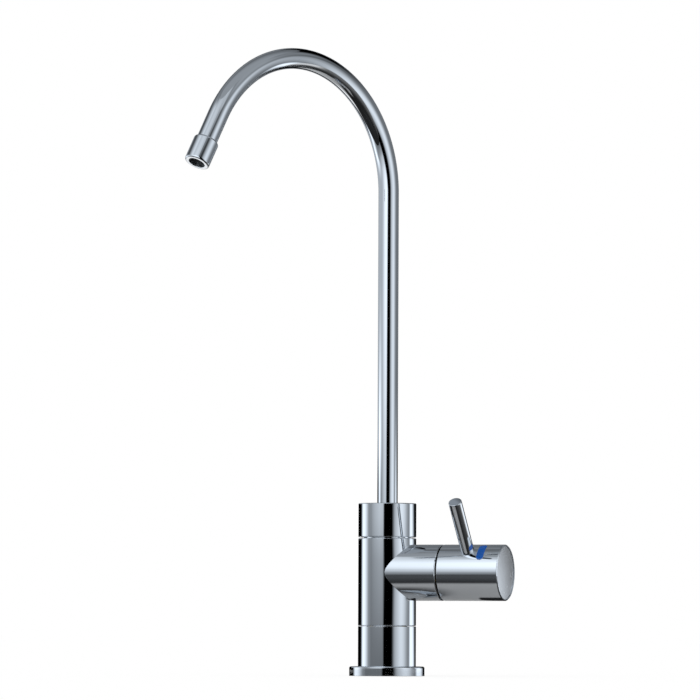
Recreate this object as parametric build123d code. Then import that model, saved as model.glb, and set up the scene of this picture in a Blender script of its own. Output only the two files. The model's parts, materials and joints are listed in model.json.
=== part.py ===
from build123d import *
from math import asin, cos, degrees, pi, radians, sin
import os

# A deck-mounted drinking-water faucet. Sizes are millimetres, +Z is up, the deck's top face is Z = 0.
# The side branch with its handle runs along +X, and -Y is the side that the user stands on.

# Shank and deck
deck_thickness = 12.0
shank_radius = 10.48
shank_bore = 6.5
shank_drop = 50.0
shank_grip = 12.0
shank_chamfer = 1.0
inlet_thread_length = 17.0
thread_relief_width = 2.0
thread_relief_depth = 0.9
shank_washer_thickness = 1.6

# Deck flange and the sleeve above it
flange_radius = 19.5
flange_thickness = 4.9
flange_edge = 0.9
deck_seal_outer = 18.0
deck_seal_inner = 15.6
deck_seal_depth = 1.6
sleeve_length = 20.9
sleeve_wall = 1.8
edge_break = 0.35

# Valve body
body_radius = 15.0
body_rise = 17.8
branch_height = 53.4
branch_step = 0.5
branch_reach = 30.85
riser_offset = 6.0
riser_bore = 3.5
seat_bore = 3.5
seat_reach = 3.0
chamber_bore = 10.5
outlet_port_bore = 2.3

# Spout swivel
neck_height = 13.0
neck_clearance = 0.6
socket_bore = 8.0
socket_depth = 17.5
glide_ring_thickness = 0.7
glide_ring_width = 2.2
bushing_flange_inset = 0.3
bushing_flange_thickness = 1.4
bushing_floor_gap = 0.6
bushing_lip = 1.8
swivel_seal_start = 2.0
swivel_seal_depth = 1.25
swivel_seal_pitch = 4.0
retaining_ring_thickness = 1.2
retaining_ring_depth = 1.1
retaining_ring_bite = 0.6
retaining_ring_split = 40.0
collar_gap = 0.5
collar_wall = 2.4
collar_top_wall = 3.0

# Spout
spout_angle = 244.8
tube_radius = 5.3
tube_wall = 0.9
tube_rise = 161.1
bend_radius = 65.4
bend_angle = 150.0
spout_tail = 29.0
nozzle_radius = 6.5
nozzle_length = 13.6
nozzle_shoulder = 2.2
nozzle_rim = 0.6
nozzle_lip = 1.6
outlet_radius = 4.2
straightener_thickness = 4.2
straightener_hole = 0.55
straightener_pitch = 1.55
straightener_rings = 2
nozzle_washer_thickness = 1.2
nozzle_washer_wall = 1.2

# Ceramic cartridge
seat_seal_thickness = 2.0
seat_seal_stand = 0.6
disc_radius = 7.8
disc_thickness = 3.2
port_inner = 2.0
port_outer = 6.2
port_half_angle = 38.0
dog_width = 5.6
dog_thickness = 3.0
dog_peg_depth = 1.4
dog_peg_length = 2.4
thrust_washer_thickness = 0.5
nose_radius = 8.9
window_length = 2.6
window_half_angle = 34.0
nose_length = 14.4
headwork_flange_rim = 2.0
headwork_flange_thickness = 3.0
headwork_seal_section = 1.3
headwork_hex = 18.0
headwork_hex_height = 3.2
headwork_neck_radius = 6.4
headwork_neck_length = 3.0

# Spindle
spindle_radius = 4.0
spindle_end_gap = 2.0
spindle_seal_section = 1.2
spindle_seal_pitch = 4.0
spindle_seal_start = 20.0
clip_thickness = 1.0
clip_depth = 0.9
clip_radius = 6.0
clip_split = 60.0
spline_teeth = 20
spline_depth = 0.45

# Handle
handle_gap = 0.7
handle_length = 33.4
handle_wall = 2.6
hub_clip_room = 1.95
hub_length = 15.0
hub_counterbore = 1.0
handle_edge = 0.5
end_disc_rim = 0.6
end_disc_thickness = 1.6
end_disc_spigot_radius = 4.0
end_disc_spigot_length = 3.6
lever_inset = 15.55
lever_radius = 3.45
lever_reach = 46.2
lever_pocket = 1.2
lever_stud_radius = 2.0
lever_edge = 0.4
lever_stud_gap = 1.0
grub_screw_length = 6.5
grub_screw_hex = 2.0
grub_screw_hex_depth = 2.0
mark_offset = 7.5
mark_width = 3.8
mark_half_angle = 24.0
mark_depth = 0.8

# Handle turn, from lever upright and water shut off to lever level and water fully on
handle_angle = 39.0
handle_turn = 90.0

# Lock nut set under the deck
clamp_gasket_radius = 17.5
clamp_gasket_thickness = 2.5
clamp_washer_radius = 17.0
clamp_washer_thickness = 2.0
lock_nut_hex = 27.0
lock_nut_height = 10.0
lock_nut_chamfer = 1.2

# Corners of the squeezed rubber rings, as a share of their section
seal_corner = 0.25

# Clearances
thread_clearance = 0.05
seat_clearance = 0.05
running_clearance = 0.05
loose_clearance = 0.3

# Heights along +Z
flange_top = flange_thickness
sleeve_top = flange_top + sleeve_length
body_top = branch_height + body_rise
neck_top = body_top + neck_height
socket_floor = neck_top - socket_depth
bushing_flange_bottom = neck_top + glide_ring_thickness
bushing_flange_top = bushing_flange_bottom + bushing_flange_thickness
collar_top = bushing_flange_top + collar_top_wall
tube_straight_top = collar_top + tube_rise
bushing_bottom = socket_floor + bushing_floor_gap
tube_bottom = bushing_bottom + bushing_lip
shank_top = sleeve_top + shank_grip

# Radii inside the collar
collar_bore = body_radius - collar_wall
neck_radius = collar_bore - neck_clearance
bushing_flange_radius = neck_radius - bushing_flange_inset

# Radii of the branch, the handle and what seats in their ends
branch_radius = body_radius - branch_step
handle_radius = branch_radius
headwork_flange_radius = branch_radius - headwork_flange_rim
end_disc_radius = handle_radius - end_disc_rim

# Places along the branch, measured from the upright axis
fixed_disc_start = seat_reach + seat_seal_thickness
moving_disc_start = fixed_disc_start + disc_thickness
dog_start = moving_disc_start + disc_thickness
dog_end = dog_start + dog_thickness
shaft_bore_start = dog_end + thrust_washer_thickness
headwork_shoulder = branch_reach - headwork_flange_thickness
headwork_hex_end = branch_reach + headwork_hex_height
headwork_end = headwork_hex_end + headwork_neck_length
handle_start = branch_reach + handle_gap
handle_end = handle_start + handle_length
hub_start = headwork_end + hub_clip_room
hub_end = hub_start + hub_length
spline_start = hub_start + hub_counterbore
spindle_end = hub_end - spindle_end_gap
lever_place = handle_start + lever_inset
mark_place = lever_place + mark_offset
lever_seat = handle_radius - lever_pocket
handle_bore = handle_radius - handle_wall


def disc(radius, height, start=0.0):
    """Solid cylinder on the local axis."""
    return Pos(0, 0, start) * Cylinder(radius, height, align=(Align.CENTER, Align.CENTER, Align.MIN))


def ring(outer, inner, height, start=0.0):
    """Cylinder with a through bore."""
    bore = disc(inner, height, start)
    return disc(outer, height, start) - bore


def seal_ring(outer, inner, place):
    """Rubber ring squeezed nearly square in its groove, with its corners still rounded off."""
    section = outer - inner
    band = ring(outer, inner, section, place - section / 2)
    return chamfer(band.edges().filter_by(GeomType.CIRCLE), seal_corner * section)


def hexagon(across_flats, height, start=0.0):
    """Hexagonal prism on the local axis."""
    outline = RegularPolygon(across_flats / 2, 6, major_radius=False)
    return Pos(0, 0, start) * extrude(outline, height)


def sector(outer, inner, half_angle, height, start=0.0):
    """Part of a ring, centred on the local X axis."""
    arc = 2 * half_angle
    wedge = Rot(0, 0, -half_angle) * Cylinder(
        outer, height, arc_size=arc, align=(Align.NONE, Align.NONE, Align.MIN)
    )
    return Pos(0, 0, start) * wedge - disc(inner, height, start)


def gear_outline(tip, root, teeth):
    """Splined outline with straight flanks."""
    pitch = 2 * pi / teeth
    corners = []
    for tooth in range(teeth):
        for radius, share in ((root, -0.5), (root, -0.3), (tip, -0.12), (tip, 0.12), (root, 0.3)):
            angle = (tooth + share) * pitch
            corners.append((radius * cos(angle), radius * sin(angle)))
    return make_face(Polyline(corners, close=True))


def radial_pin(radius, low, high, angle, place):
    """Cylinder that points away from the branch axis, at an angle from upright towards the user."""
    pin = Pos(0, 0, low) * Cylinder(radius, high - low, align=(Align.CENTER, Align.CENTER, Align.MIN))
    return Pos(0, 0, place) * Rot(0, 0, angle) * Rot(0, 90, 0) * pin


def outer_edges(shape, radius):
    """Circular edges of one radius."""
    return shape.edges().filter_by(GeomType.CIRCLE).filter_by(lambda edge: abs(edge.radius - radius) < 1e-4)


def on_branch(shape):
    """Carry a shape from the local axis to the branch: local Z runs along +X, local X points up."""
    plane = Plane(origin=(0, 0, branch_height), x_dir=(0, 0, 1), z_dir=(1, 0, 0))
    return plane.location * shape


def on_handle(shape):
    """Carry a handle shape to the branch, turned as the lever stands in the stored pose."""
    return on_branch(Rot(0, 0, handle_angle) * shape)


def on_spout(shape):
    """Turn a shape so that its local X is the direction that the spout points in."""
    return Rot(0, 0, spout_angle) * shape


# Under the deck


def make_mounting_shank():
    body = disc(shank_radius, shank_drop + shank_top, -shank_drop)
    body = chamfer(outer_edges(body, shank_radius), shank_chamfer)
    relief_start = -shank_drop + inlet_thread_length
    relief = ring(
        shank_radius + thread_relief_depth, shank_radius - thread_relief_depth, thread_relief_width, relief_start
    )
    return body - relief - disc(shank_bore, shank_drop + shank_top, -shank_drop)


def make_clamp_gasket():
    start = -deck_thickness - clamp_gasket_thickness
    return ring(clamp_gasket_radius, shank_radius + loose_clearance, clamp_gasket_thickness, start)


def make_clamp_washer():
    start = -deck_thickness - clamp_gasket_thickness - clamp_washer_thickness
    washer = ring(clamp_washer_radius, shank_radius + loose_clearance, clamp_washer_thickness, start)
    return chamfer(outer_edges(washer, clamp_washer_radius), edge_break)


def make_lock_nut():
    start = -deck_thickness - clamp_gasket_thickness - clamp_washer_thickness - lock_nut_height
    corner_radius = lock_nut_hex / 3**0.5
    turned = chamfer(disc(corner_radius, lock_nut_height, start).edges(), lock_nut_chamfer)
    nut = hexagon(lock_nut_hex, lock_nut_height, start) & turned
    return nut - disc(shank_radius + thread_clearance, lock_nut_height, start)


# On the deck


def make_base_flange():
    flange = disc(flange_radius, flange_thickness)
    rim = outer_edges(flange, flange_radius)
    flange = fillet(rim.sort_by(Axis.Z)[-1], flange_edge)
    groove = ring(deck_seal_outer + seat_clearance, deck_seal_inner - seat_clearance, deck_seal_depth)
    return flange - groove - disc(shank_radius + thread_clearance, flange_thickness)


def make_deck_seal():
    return ring(deck_seal_outer, deck_seal_inner, deck_seal_depth)


def make_base_sleeve():
    sleeve = disc(body_radius, sleeve_length, flange_top)
    sleeve = chamfer(outer_edges(sleeve, body_radius), edge_break)
    return sleeve - disc(body_radius - sleeve_wall, sleeve_length, flange_top)


# Valve body


def make_valve_body():
    barrel = disc(body_radius, body_top - sleeve_top, sleeve_top)
    barrel = chamfer(outer_edges(barrel, body_radius), edge_break)
    branch = disc(branch_radius, branch_reach)
    branch = chamfer(outer_edges(branch, branch_radius).sort_by(Axis.Z)[-1], edge_break)
    body = barrel + on_branch(branch) + disc(neck_radius, neck_height, body_top)
    # thread for the shank, with the washer that seals its end
    body -= disc(shank_radius + thread_clearance, shank_grip + shank_washer_thickness, sleeve_top)
    # waterway from the shank up behind the seat
    riser = disc(riser_bore, branch_height - shank_top, shank_top)
    body -= Pos(-riser_offset, 0, 0) * (riser + Pos(0, 0, branch_height) * Sphere(riser_bore))
    body -= on_branch(disc(seat_bore, riser_offset + seat_reach, -riser_offset))
    # chamber for the cartridge, and the counterbore for its flange
    body -= on_branch(disc(chamber_bore, branch_reach - seat_reach, seat_reach))
    counterbore_radius = headwork_flange_radius + seat_clearance
    body -= on_branch(disc(counterbore_radius, headwork_flange_thickness, headwork_shoulder))
    # swivel socket, its ring groove, and the port that feeds it
    body -= disc(socket_bore, neck_top - socket_floor, socket_floor)
    body -= disc(ring_groove_radius(), retaining_ring_thickness + 2 * loose_clearance, ring_groove_start())
    port = disc(outlet_port_bore, socket_floor - branch_height, branch_height)
    return body - Pos(seat_reach + outlet_port_bore + loose_clearance, 0, 0) * port


def make_shank_washer():
    return ring(shank_radius - thread_relief_depth, shank_bore, shank_washer_thickness, shank_top)


# Cartridge, modelled on the local axis and carried to the branch


def make_seat_seal():
    return on_branch(ring(disc_radius, seat_bore, seat_seal_thickness, seat_reach))


def disc_ports(thickness, start):
    ports = sector(port_outer, port_inner, port_half_angle, thickness, start)
    return ports + Rot(0, 0, 180) * ports


def make_fixed_disc():
    plate = disc(disc_radius, disc_thickness, fixed_disc_start)
    return on_branch(plate - Rot(0, 0, 90) * disc_ports(disc_thickness, fixed_disc_start))


def make_cartridge_housing():
    nose = disc(nose_radius, nose_length, seat_reach + seat_seal_stand)
    thread_start = seat_reach + seat_seal_stand + nose_length
    threaded = disc(chamber_bore - seat_clearance, headwork_shoulder - thread_start, thread_start)
    flange = disc(headwork_flange_radius, headwork_flange_thickness, headwork_shoulder)
    hex_head = hexagon(headwork_hex, headwork_hex_height, branch_reach)
    neck = disc(headwork_neck_radius, headwork_neck_length, headwork_hex_end)
    housing = nose + threaded + flange + hex_head + neck
    # seal groove under the flange
    groove_width = headwork_seal_section
    groove_floor = chamber_bore - seat_clearance - groove_width
    housing -= ring(chamber_bore, groove_floor, groove_width, headwork_shoulder - groove_width)
    # bores for the discs and for the spindle
    housing -= disc(disc_radius + running_clearance, shaft_bore_start)
    housing -= disc(spindle_radius + running_clearance, headwork_end)
    # windows that let the water out to the chamber
    window = sector(nose_radius + seat_clearance, spindle_radius, window_half_angle, window_length, dog_start)
    for turn in (90, 270):
        housing -= Rot(0, 0, turn) * window
    return on_branch(housing)


def make_housing_seal():
    outer = chamber_bore - seat_clearance
    return on_branch(seal_ring(outer, outer - headwork_seal_section, headwork_shoulder - headwork_seal_section / 2))


def make_moving_disc():
    plate = disc(disc_radius - running_clearance, disc_thickness, moving_disc_start)
    plate -= Rot(0, 0, 90 - handle_turn) * disc_ports(disc_thickness, moving_disc_start)
    notch = Box(
        dog_peg_length + 2 * seat_clearance + running_clearance,
        dog_width / 2 + 2 * seat_clearance,
        dog_peg_depth + seat_clearance,
        align=(Align.MIN, Align.CENTER, Align.MAX),
    )
    notch = Pos(disc_radius - running_clearance - dog_peg_length - seat_clearance, 0, dog_start) * notch
    for turn in (90, 270):
        plate -= Rot(0, 0, turn) * notch
    return on_handle(plate)


def make_spindle():
    bar_length = 2 * (disc_radius - running_clearance)
    bar = Box(bar_length, dog_width, dog_thickness, align=(Align.CENTER, Align.CENTER, Align.MIN))
    dog = (Pos(0, 0, dog_start) * bar) & disc(disc_radius - running_clearance, dog_thickness, dog_start)
    peg = Box(dog_peg_length, dog_width / 2, dog_peg_depth, align=(Align.MAX, Align.CENTER, Align.MAX))
    peg = Pos(disc_radius - running_clearance, 0, dog_start) * peg
    peg = peg & disc(disc_radius - running_clearance, dog_peg_depth, dog_start - dog_peg_depth)
    dog = dog + peg + Rot(0, 0, 180) * peg
    shaft = disc(spindle_radius, spline_start - dog_end, dog_end)
    spline = Pos(0, 0, spline_start) * extrude(
        gear_outline(spindle_radius, spindle_radius - spline_depth, spline_teeth), spindle_end - spline_start
    )
    spindle = Rot(0, 0, 90) * dog + shaft + spline
    for place in spindle_seal_places():
        groove = ring(spindle_radius + seat_clearance, spindle_seal_floor(), spindle_seal_section)
        spindle -= Pos(0, 0, place - spindle_seal_section / 2) * groove
    groove_floor = spindle_radius - clip_depth
    clip_groove = ring(spindle_radius + seat_clearance, groove_floor, clip_thickness + seat_clearance, clip_start())
    return on_handle(spindle - clip_groove)


def spindle_seal_floor():
    return spindle_radius - spindle_seal_section


def spindle_seal_places():
    return [spindle_seal_start, spindle_seal_start + spindle_seal_pitch]


def clip_start():
    return headwork_end + loose_clearance / 2


def make_spindle_seals():
    floor = spindle_seal_floor()
    return [on_handle(seal_ring(spindle_radius, floor, place)) for place in spindle_seal_places()]


def split_ring(outer, inner, thickness, start, split):
    """Flat spring ring with a gap of the split angle."""
    return sector(outer, inner, 180 - split / 2, thickness, start)


def make_spindle_clip():
    inner = spindle_radius - clip_depth + running_clearance
    return on_handle(split_ring(clip_radius, inner, clip_thickness, clip_start(), clip_split))


def make_thrust_washer():
    inner = spindle_radius + running_clearance
    return on_handle(ring(disc_radius - 2 * running_clearance, inner, thrust_washer_thickness, dog_end))


# Handle


def make_handle_hub():
    hub = disc(handle_bore - seat_clearance, hub_end - hub_start, hub_start)
    hub = chamfer(outer_edges(hub, handle_bore - seat_clearance), edge_break)
    hub -= disc(spindle_radius + loose_clearance, hub_counterbore, hub_start)
    tip = spindle_radius + running_clearance
    root = spindle_radius - spline_depth + running_clearance
    bore = extrude(gear_outline(tip, root, spline_teeth), hub_end - hub_start)
    hub -= Pos(0, 0, hub_start) * bore
    hub -= radial_pin(lever_stud_radius + thread_clearance, 0, handle_radius, 0, lever_place)
    return on_handle(hub - radial_pin(lever_stud_radius + thread_clearance, 0, handle_radius, 180, lever_place))


def mark_shape(depth):
    """Strip with round ends, wrapped part of the way round the handle beside the lever."""
    inner = handle_radius - depth
    end_half_angle = degrees(asin(mark_width / 2 / handle_radius))
    straight_half_angle = mark_half_angle - end_half_angle
    start = mark_place - mark_width / 2
    strip = sector(handle_radius, inner, straight_half_angle, mark_width, start)
    shell = ring(handle_radius, inner, mark_width, start)
    for side in (-1, 1):
        end = radial_pin(mark_width / 2, inner / 2, handle_radius + 1, side * straight_half_angle, mark_place)
        strip += end & shell
    return strip


def make_handle_sleeve():
    sleeve = disc(handle_radius, handle_end - handle_start, handle_start)
    rims = outer_edges(sleeve, handle_radius).sort_by(Axis.Z)
    sleeve = chamfer(rims[-1], handle_edge)
    sleeve = chamfer(outer_edges(sleeve, handle_radius).sort_by(Axis.Z)[0], edge_break)
    sleeve -= disc(handle_bore, hub_end - handle_start, handle_start)
    sleeve -= disc(end_disc_radius + seat_clearance, end_disc_thickness, handle_end - end_disc_thickness)
    spigot_start = handle_end - end_disc_thickness - end_disc_spigot_length
    spigot_hole = disc(end_disc_spigot_radius + seat_clearance, handle_end - hub_end, hub_end)
    sleeve -= spigot_hole & disc(handle_radius, handle_end, spigot_start)
    sleeve -= radial_pin(lever_radius + seat_clearance, lever_seat, handle_radius + 1, 0, lever_place)
    sleeve -= radial_pin(lever_stud_radius + thread_clearance, 0, handle_radius + 1, 0, lever_place)
    sleeve -= radial_pin(lever_stud_radius + thread_clearance, 0, handle_radius + 1, 180, lever_place)
    return on_handle(sleeve - mark_shape(mark_depth))


def make_end_disc():
    face = disc(end_disc_radius, end_disc_thickness, handle_end - end_disc_thickness)
    spigot_start = handle_end - end_disc_thickness - end_disc_spigot_length
    return on_handle(face + disc(end_disc_spigot_radius, end_disc_spigot_length, spigot_start))


def make_lever():
    pin = radial_pin(lever_radius, lever_seat, lever_reach, 0, 0)
    pin = chamfer(pin.edges().filter_by(GeomType.CIRCLE), lever_edge)
    stud = radial_pin(lever_stud_radius, spindle_radius + lever_stud_gap, lever_seat, 0, 0)
    return on_handle(Pos(0, 0, lever_place) * (pin + stud))


def make_cold_mark():
    return on_handle(mark_shape(mark_depth - seat_clearance))


def make_grub_screw():
    low = spindle_radius
    high = low + grub_screw_length
    screw = radial_pin(lever_stud_radius, low, high, 180, lever_place)
    socket = Pos(0, 0, high - grub_screw_hex_depth) * extrude(
        RegularPolygon(grub_screw_hex / 2, 6, major_radius=False), grub_screw_hex_depth
    )
    return on_handle(screw - Pos(0, 0, lever_place) * Rot(0, 0, 180) * Rot(0, 90, 0) * socket)


# Spout swivel


def swivel_seal_floor():
    return socket_bore - running_clearance - swivel_seal_depth


def swivel_seal_places():
    first = tube_bottom + swivel_seal_start
    return [first, first + swivel_seal_pitch]


def ring_groove_radius():
    return socket_bore + retaining_ring_bite + loose_clearance


def ring_groove_start():
    return neck_top - 3 * retaining_ring_thickness - loose_clearance


def make_glide_ring():
    inner = bushing_flange_radius - glide_ring_width
    return ring(bushing_flange_radius, inner, glide_ring_thickness, neck_top)


def make_spout_bushing():
    barrel_radius = socket_bore - running_clearance
    barrel = disc(barrel_radius, bushing_flange_bottom - bushing_bottom, bushing_bottom)
    flange = disc(bushing_flange_radius, bushing_flange_thickness, bushing_flange_bottom)
    bushing = chamfer(outer_edges(barrel, barrel_radius).sort_by(Axis.Z)[0], edge_break) + flange
    for place in swivel_seal_places():
        groove = ring(socket_bore, swivel_seal_floor(), swivel_seal_depth)
        bushing -= Pos(0, 0, place - swivel_seal_depth / 2) * groove
    groove_floor = barrel_radius - retaining_ring_depth
    groove_start = ring_groove_start() + loose_clearance
    bushing -= ring(socket_bore, groove_floor, retaining_ring_thickness, groove_start)
    bushing -= disc(tube_radius + seat_clearance, bushing_flange_top - tube_bottom, tube_bottom)
    return bushing - disc(tube_radius - tube_wall, bushing_flange_top - bushing_bottom, bushing_bottom)


def make_swivel_seals():
    outer = socket_bore - running_clearance
    return [seal_ring(outer, swivel_seal_floor(), place) for place in swivel_seal_places()]


def make_retaining_ring():
    inner = socket_bore - running_clearance - retaining_ring_depth
    start = ring_groove_start() + loose_clearance
    outer = socket_bore + retaining_ring_bite
    return on_spout(split_ring(outer, inner, retaining_ring_thickness, start, retaining_ring_split))


def make_spout_collar():
    collar = disc(body_radius, collar_top - body_top - collar_gap, body_top + collar_gap)
    collar = chamfer(outer_edges(collar, body_radius), edge_break)
    cavity = disc(collar_bore, bushing_flange_top - body_top, body_top)
    return collar - cavity - disc(tube_radius + seat_clearance, collar_top - body_top, body_top)


# Spout, modelled in the local XZ plane and turned to the direction that it points in


def spout_path(tail):
    """Centre line from the tube's lower end, round the bend, to a place on the straight tail."""
    rise = Line((0, 0, tube_bottom), (0, 0, tube_straight_top))
    start = (0, 0, tube_straight_top)
    middle = bend_point(bend_angle / 2)
    end = bend_point(bend_angle)
    bend = ThreePointArc(start, middle, end)
    heading = tail_direction()
    tail_end = tuple(place + tail * step for place, step in zip(end, heading))
    return Wire([rise, bend, Line(end, tail_end)])


def bend_point(angle):
    turn = radians(angle)
    return (bend_radius * (1 - cos(turn)), 0, tube_straight_top + bend_radius * sin(turn))


def tail_direction():
    turn = radians(bend_angle)
    return (sin(turn), 0, cos(turn))


def at_outlet(shape):
    """Carry a shape to the outlet: local origin at the mouth, local Z back up the spout."""
    end = bend_point(bend_angle)
    heading = tail_direction()
    mouth = tuple(place + spout_tail * step for place, step in zip(end, heading))
    plane = Plane(origin=mouth, x_dir=(0, 1, 0), z_dir=tuple(-step for step in heading))
    return on_spout(plane.location * shape)


def insert_depth():
    return nozzle_lip + straightener_thickness + nozzle_washer_thickness


def make_spout_tube():
    path = spout_path(spout_tail - insert_depth())
    section = Pos(0, 0, tube_bottom) * (Circle(tube_radius) - Circle(tube_radius - tube_wall))
    return on_spout(sweep(section, path))


def make_spout_nozzle():
    nozzle = disc(nozzle_radius, nozzle_length)
    rims = outer_edges(nozzle, nozzle_radius).sort_by(Axis.Z)
    nozzle = chamfer(rims[0], nozzle_rim)
    nozzle = fillet(outer_edges(nozzle, nozzle_radius).sort_by(Axis.Z)[-1], min(nozzle_shoulder, nozzle_wall()))
    nozzle -= disc(outlet_radius, nozzle_lip)
    return at_outlet(nozzle - disc(tube_radius + seat_clearance, nozzle_length - nozzle_lip, nozzle_lip))


def nozzle_wall():
    return 0.95 * (nozzle_radius - tube_radius - seat_clearance)


def make_stream_straightener():
    plate = disc(tube_radius - seat_clearance, straightener_thickness, nozzle_lip)
    hole = disc(straightener_hole, straightener_thickness, nozzle_lip)
    holes = [hole]
    for turn in range(1, straightener_rings + 1):
        count = 6 * turn
        for step in range(count):
            angle = 2 * pi * step / count
            reach = turn * straightener_pitch
            holes.append(Pos(reach * cos(angle), reach * sin(angle), 0) * hole)
    return at_outlet(plate - holes)


def make_nozzle_washer():
    outer = tube_radius - seat_clearance
    start = nozzle_lip + straightener_thickness
    return at_outlet(ring(outer, outer - nozzle_washer_wall, nozzle_washer_thickness, start))


pieces = {
    "mounting_shank": make_mounting_shank,
    "clamp_gasket": make_clamp_gasket,
    "clamp_washer": make_clamp_washer,
    "lock_nut": make_lock_nut,
    "base_flange": make_base_flange,
    "deck_seal": make_deck_seal,
    "base_sleeve": make_base_sleeve,
    "valve_body": make_valve_body,
    "shank_washer": make_shank_washer,
    "seat_seal": make_seat_seal,
    "fixed_disc": make_fixed_disc,
    "cartridge_housing": make_cartridge_housing,
    "housing_seal": make_housing_seal,
    "moving_disc": make_moving_disc,
    "spindle": make_spindle,
    "spindle_seals": make_spindle_seals,
    "spindle_clip": make_spindle_clip,
    "thrust_washer": make_thrust_washer,
    "handle_hub": make_handle_hub,
    "handle_sleeve": make_handle_sleeve,
    "handle_end_disc": make_end_disc,
    "lever_pin": make_lever,
    "cold_mark": make_cold_mark,
    "grub_screw": make_grub_screw,
    "glide_ring": make_glide_ring,
    "spout_bushing": make_spout_bushing,
    "swivel_seals": make_swivel_seals,
    "retaining_ring": make_retaining_ring,
    "spout_collar": make_spout_collar,
    "spout_tube": make_spout_tube,
    "spout_nozzle": make_spout_nozzle,
    "stream_straightener": make_stream_straightener,
    "nozzle_washer": make_nozzle_washer,
}

os.makedirs("parts", exist_ok=True)
for name, make in pieces.items():
    shape = make()
    solids = shape if isinstance(shape, list) else shape.solids()
    export_step(Compound(children=list(solids)), f"parts/{name}.step")
    print(name, len(solids), "solids", round(sum(solid.volume for solid in solids), 1), "mm3")
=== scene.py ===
import json
from math import atan2, cos, degrees, pi, radians, sin, sqrt, tan

import bmesh
import bpy
from mathutils import Matrix, Vector


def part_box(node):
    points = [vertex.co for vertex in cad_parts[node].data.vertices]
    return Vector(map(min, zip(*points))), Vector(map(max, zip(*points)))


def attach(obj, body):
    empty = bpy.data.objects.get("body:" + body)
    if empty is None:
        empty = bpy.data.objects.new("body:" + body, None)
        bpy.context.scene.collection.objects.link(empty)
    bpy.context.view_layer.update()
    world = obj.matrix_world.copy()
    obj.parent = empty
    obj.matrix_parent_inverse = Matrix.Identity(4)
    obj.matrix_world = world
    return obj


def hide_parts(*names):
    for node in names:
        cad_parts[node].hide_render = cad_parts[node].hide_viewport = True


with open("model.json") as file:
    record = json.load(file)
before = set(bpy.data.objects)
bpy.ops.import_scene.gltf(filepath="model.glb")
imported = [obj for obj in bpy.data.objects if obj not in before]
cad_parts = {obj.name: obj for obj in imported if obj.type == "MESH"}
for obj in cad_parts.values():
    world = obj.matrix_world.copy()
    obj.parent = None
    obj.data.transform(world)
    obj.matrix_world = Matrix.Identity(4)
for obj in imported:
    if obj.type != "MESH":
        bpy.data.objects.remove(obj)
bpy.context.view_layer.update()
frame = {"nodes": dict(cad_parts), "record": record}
mm = 0.001
joints = {joint["name"]: joint for joint in frame["record"]["behaviour"]["joints"]}
branchHeight = joints["handle_turn"]["pos_m"][2] / mm
print("frame loaded:", len(frame["nodes"]), "nodes")


# a socket that takes part in plain arithmetic
class Wire:
    def __init__(self, tree, socket):
        self.tree = tree
        self.socket = socket

    def maths(self, operation, first, second=0.0):
        return self.tree.add("ShaderNodeMath", {"operation": operation}, [first, second])

    def __add__(self, other):
        return self.maths("ADD", self, other)

    def __radd__(self, other):
        return self.maths("ADD", other, self)

    def __sub__(self, other):
        return self.maths("SUBTRACT", self, other)

    def __rsub__(self, other):
        return self.maths("SUBTRACT", other, self)

    def __mul__(self, other):
        return self.maths("MULTIPLY", self, other)

    def __rmul__(self, other):
        return self.maths("MULTIPLY", other, self)

    def __truediv__(self, other):
        return self.maths("DIVIDE", self, other)

    def sine(self):
        return self.maths("SINE", self)

    def cosine(self):
        return self.maths("COSINE", self)

    def size(self):
        return self.maths("ABSOLUTE", self)

    def smaller(self, other):
        return self.maths("MINIMUM", self, other)

    def larger(self, other):
        return self.maths("MAXIMUM", self, other)

    def out(self, name):
        return Wire(self.tree, self.socket.node.outputs[name])


# a node tree that is written node by node
class Tree:
    def __init__(self, nodeTree):
        self.nodeTree = nodeTree

    def add(self, kind, settings=None, inputs=None):
        node = self.nodeTree.nodes.new(kind)
        for name, value in (settings or {}).items():
            if name == "stops":
                self.setStops(node.color_ramp, value)
            else:
                setattr(node, name, value)
        given = inputs or {}
        for name, value in given.items() if isinstance(given, dict) else enumerate(given):
            if isinstance(value, Wire):
                self.nodeTree.links.new(value.socket, node.inputs[name])
            else:
                node.inputs[name].default_value = value
        shown = [socket for socket in node.outputs if socket.enabled]
        return Wire(self, shown[0]) if shown else node

    def setStops(self, ramp, stops):
        while len(ramp.elements) < len(stops):
            ramp.elements.new(1.0)
        for element, (place, colour) in zip(ramp.elements, stops):
            element.position = place
            element.color = colour if len(colour) == 4 else (*colour, 1.0)

    def mixed(self, factor, first, second, clamped=True):
        settings = {"data_type": "RGBA", "clamp_factor": clamped}
        return self.add("ShaderNodeMix", settings, {0: factor, 6: first, 7: second})


# Camera, where the photograph was taken from, with its angles in degrees

cameraView = {
    "place": (0.9846, -2.7318, 0.0273),
    "heading": 20.21,
    "pitch": 2.79,
    "roll": 0.24,
    "lens": 288.05,
    "sensor": 36.0,
}


def linkObject(name, data):
    made = bpy.data.objects.new(name, data)
    bpy.context.scene.collection.objects.link(made)
    return made


def makeCamera():
    data = bpy.data.cameras.new("photoCamera")
    data.lens = cameraView["lens"]
    data.sensor_width = cameraView["sensor"]
    camera = linkObject("photoCamera", data)
    turn = Matrix.Rotation(radians(cameraView["heading"]), 4, "Z")
    tilt = Matrix.Rotation(radians(90 + cameraView["pitch"]), 4, "X")
    roll = Matrix.Rotation(radians(cameraView["roll"]), 4, "Z")
    camera.matrix_world = Matrix.Translation(cameraView["place"]) @ turn @ tilt @ roll
    bpy.context.scene.camera = camera


makeCamera()
bpy.context.scene.view_settings.view_transform = "Standard"
print("camera placed")


# Helpers for finishes


def newFinish(name):
    material = bpy.data.materials.new(name)
    material.use_nodes = True
    material.node_tree.nodes.clear()
    return material, Tree(material.node_tree)


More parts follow.
